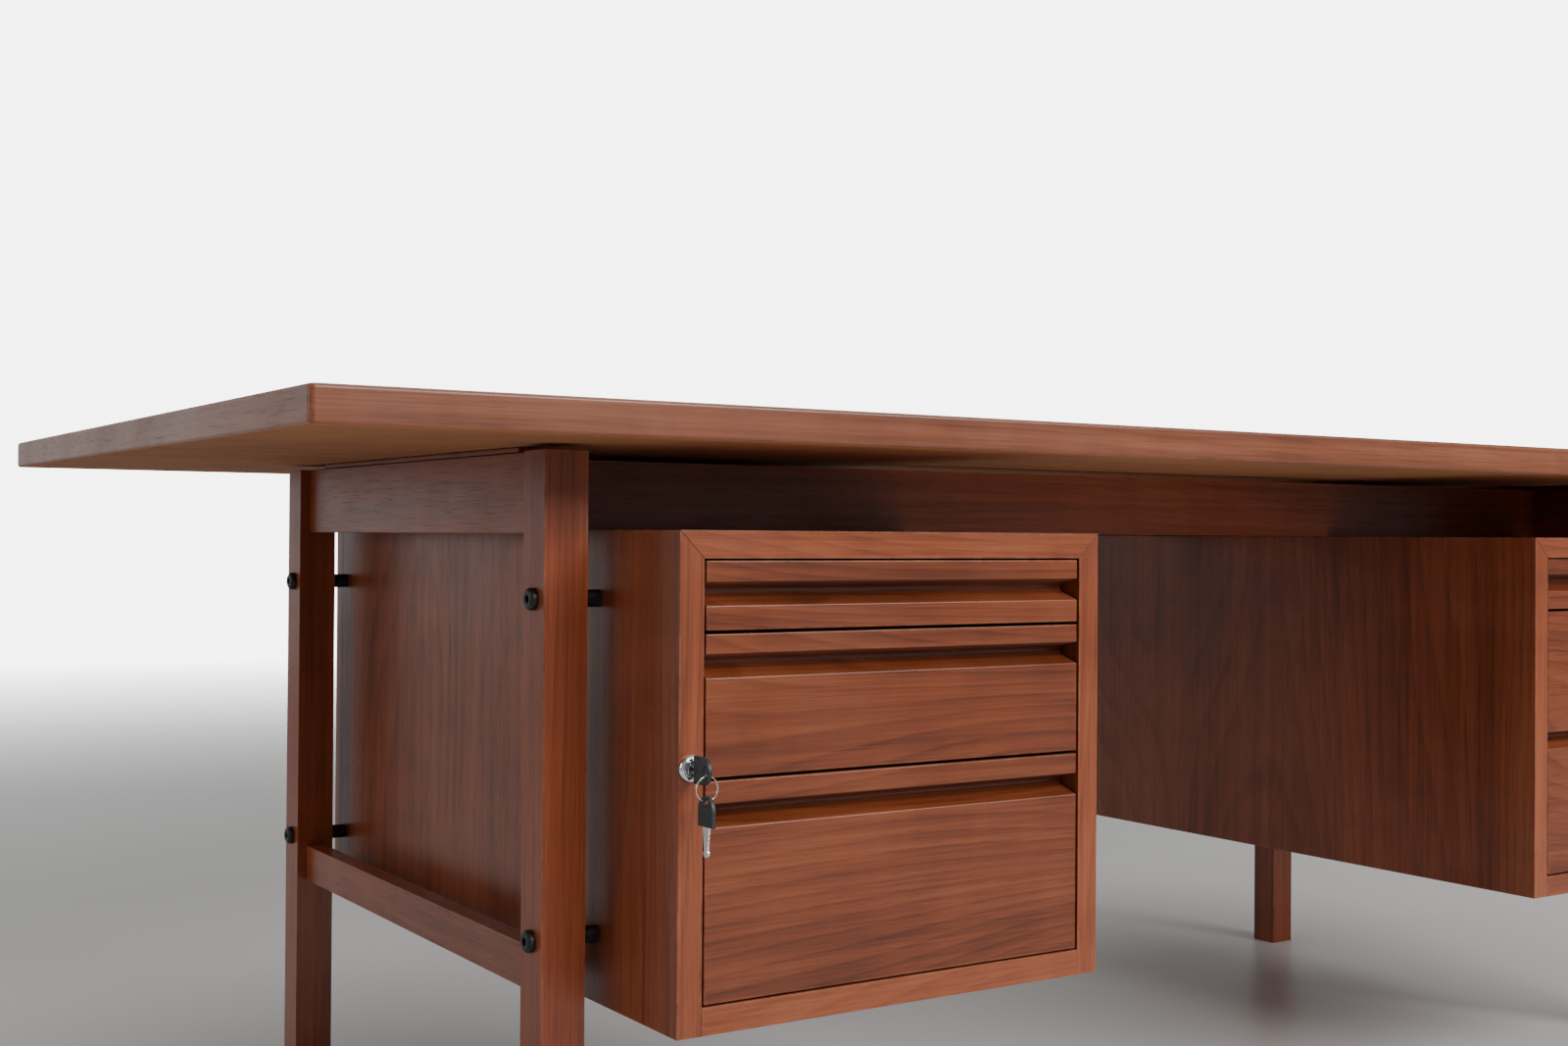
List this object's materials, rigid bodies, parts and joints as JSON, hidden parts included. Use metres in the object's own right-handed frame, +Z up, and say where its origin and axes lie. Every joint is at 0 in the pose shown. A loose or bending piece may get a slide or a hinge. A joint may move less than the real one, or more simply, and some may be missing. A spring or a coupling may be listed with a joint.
{
  "type": "writing desk with drawers",
  "caption": "Executive writing desk: a thin overhanging top on two leg frames, with two drawer pedestals hung from the frames on black bolts, and a lock with its keys.",
  "frame": {"origin": "middle of the footprint of the whole object, keys included, on the floor", "axes": "+X along the desk to the sitter's right, -Y towards the sitter, +Z up"},
  "size_m": [2.08, 1.106, 0.74],
  "materials": {
    "desktop_wood": "reddish-brown walnut veneer, satin lacquer, long straight grain",
    "frame_wood": "darker reddish-brown solid walnut, satin lacquer",
    "pedestal_wood": "reddish-brown walnut veneer with vertical grain, satin lacquer",
    "drawer_front_wood": "reddish-brown walnut with horizontal figured grain, satin lacquer",
    "drawer_box_wood": "pale hardwood, thin matt varnish",
    "black_metal": "black oxide, half matt",
    "lock_chrome": "polished chrome plate",
    "key_head": "black moulded plastic, fine texture",
    "key_metal": "nickel plated steel"
  },
  "bodies": {
    "desk": {"desktop": "desktop_wood", "apron_front": "frame_wood", "apron_back": "frame_wood", "leg_front_left": "frame_wood", "leg_back_left": "frame_wood", "side_rail_left": "frame_wood", "stretcher_left": "frame_wood", "top_batten_left": "frame_wood", "bolt_left_front_lower": "black_metal", "spacer_left_front_lower": "black_metal", "bolt_left_front_upper": "black_metal", "spacer_left_front_upper": "black_metal", "bolt_left_back_lower": "black_metal", "spacer_left_back_lower": "black_metal", "bolt_left_back_upper": "black_metal", "spacer_left_back_upper": "black_metal", "pedestal_left_outer_side": "pedestal_wood", "pedestal_left_inner_side": "pedestal_wood", "pedestal_left_top": "pedestal_wood", "pedestal_left_bottom": "pedestal_wood", "pedestal_left_back": "pedestal_wood", "leg_front_right": "frame_wood", "leg_back_right": "frame_wood", "side_rail_right": "frame_wood", "stretcher_right": "frame_wood", "top_batten_right": "frame_wood", "bolt_right_front_lower": "black_metal", "spacer_right_front_lower": "black_metal", "bolt_right_front_upper": "black_metal", "spacer_right_front_upper": "black_metal", "bolt_right_back_lower": "black_metal", "spacer_right_back_lower": "black_metal", "bolt_right_back_upper": "black_metal", "spacer_right_back_upper": "black_metal", "pedestal_right_outer_side": "pedestal_wood", "pedestal_right_inner_side": "pedestal_wood", "pedestal_right_top": "pedestal_wood", "pedestal_right_bottom": "pedestal_wood", "pedestal_right_back": "pedestal_wood", "runner_left_pencil_left": "drawer_box_wood", "runner_left_pencil_right": "drawer_box_wood", "runner_left_middle_left": "drawer_box_wood", "runner_left_middle_right": "drawer_box_wood", "runner_right_pencil_left": "drawer_box_wood", "runner_right_pencil_right": "drawer_box_wood", "lock_housing": "lock_chrome"},
    "drawer_left_pencil": {"drawer_left_pencil_front": "drawer_front_wood", "drawer_left_pencil_box": "drawer_box_wood"},
    "drawer_left_middle": {"drawer_left_middle_front": "drawer_front_wood", "drawer_left_middle_box": "drawer_box_wood"},
    "drawer_left_deep": {"drawer_left_deep_front": "drawer_front_wood", "drawer_left_deep_box": "drawer_box_wood"},
    "drawer_right_pencil": {"drawer_right_pencil_front": "drawer_front_wood", "drawer_right_pencil_box": "drawer_box_wood"},
    "drawer_right_file": {"drawer_right_file_front": "drawer_front_wood", "drawer_right_file_box": "drawer_box_wood"},
    "lock_plug": {"lock_plug": "lock_chrome", "key": "key_head"},
    "key_ring": {"key_ring": "key_metal"},
    "spare_key": {"spare_key": "key_head"}
  },
  "joints": [
    {"name": "drawer_left_pencil_slide", "type": "slide", "parent": "desk", "child": "drawer_left_pencil", "axis": [0, -1, 0], "range_m": [0, 0.42]},
    {"name": "drawer_left_middle_slide", "type": "slide", "parent": "desk", "child": "drawer_left_middle", "axis": [0, -1, 0], "range_m": [0, 0.42]},
    {"name": "drawer_left_deep_slide", "type": "slide", "parent": "desk", "child": "drawer_left_deep", "axis": [0, -1, 0], "range_m": [0, 0.42]},
    {"name": "drawer_right_pencil_slide", "type": "slide", "parent": "desk", "child": "drawer_right_pencil", "axis": [0, -1, 0], "range_m": [0, 0.42]},
    {"name": "drawer_right_file_slide", "type": "slide", "parent": "desk", "child": "drawer_right_file", "axis": [0, -1, 0], "range_m": [0, 0.42]},
    {"name": "lock_plug_turn", "type": "hinge", "parent": "desk", "child": "lock_plug", "pos_m": [-0.73075, -0.522, 0.451], "axis": [0, 1, 0], "range_deg": [0, 90]},
    {"name": "key_ring_swing", "type": "hinge", "parent": "lock_plug", "child": "key_ring", "pos_m": [-0.73075, -0.542, 0.44765], "axis": [1, 0, 0], "range_deg": [-50, 5]},
    {"name": "spare_key_swing", "type": "hinge", "parent": "key_ring", "child": "spare_key", "pos_m": [-0.73075, -0.542, 0.42825], "axis": [1, 0, 0], "range_deg": [-40, 5]}
  ]
}
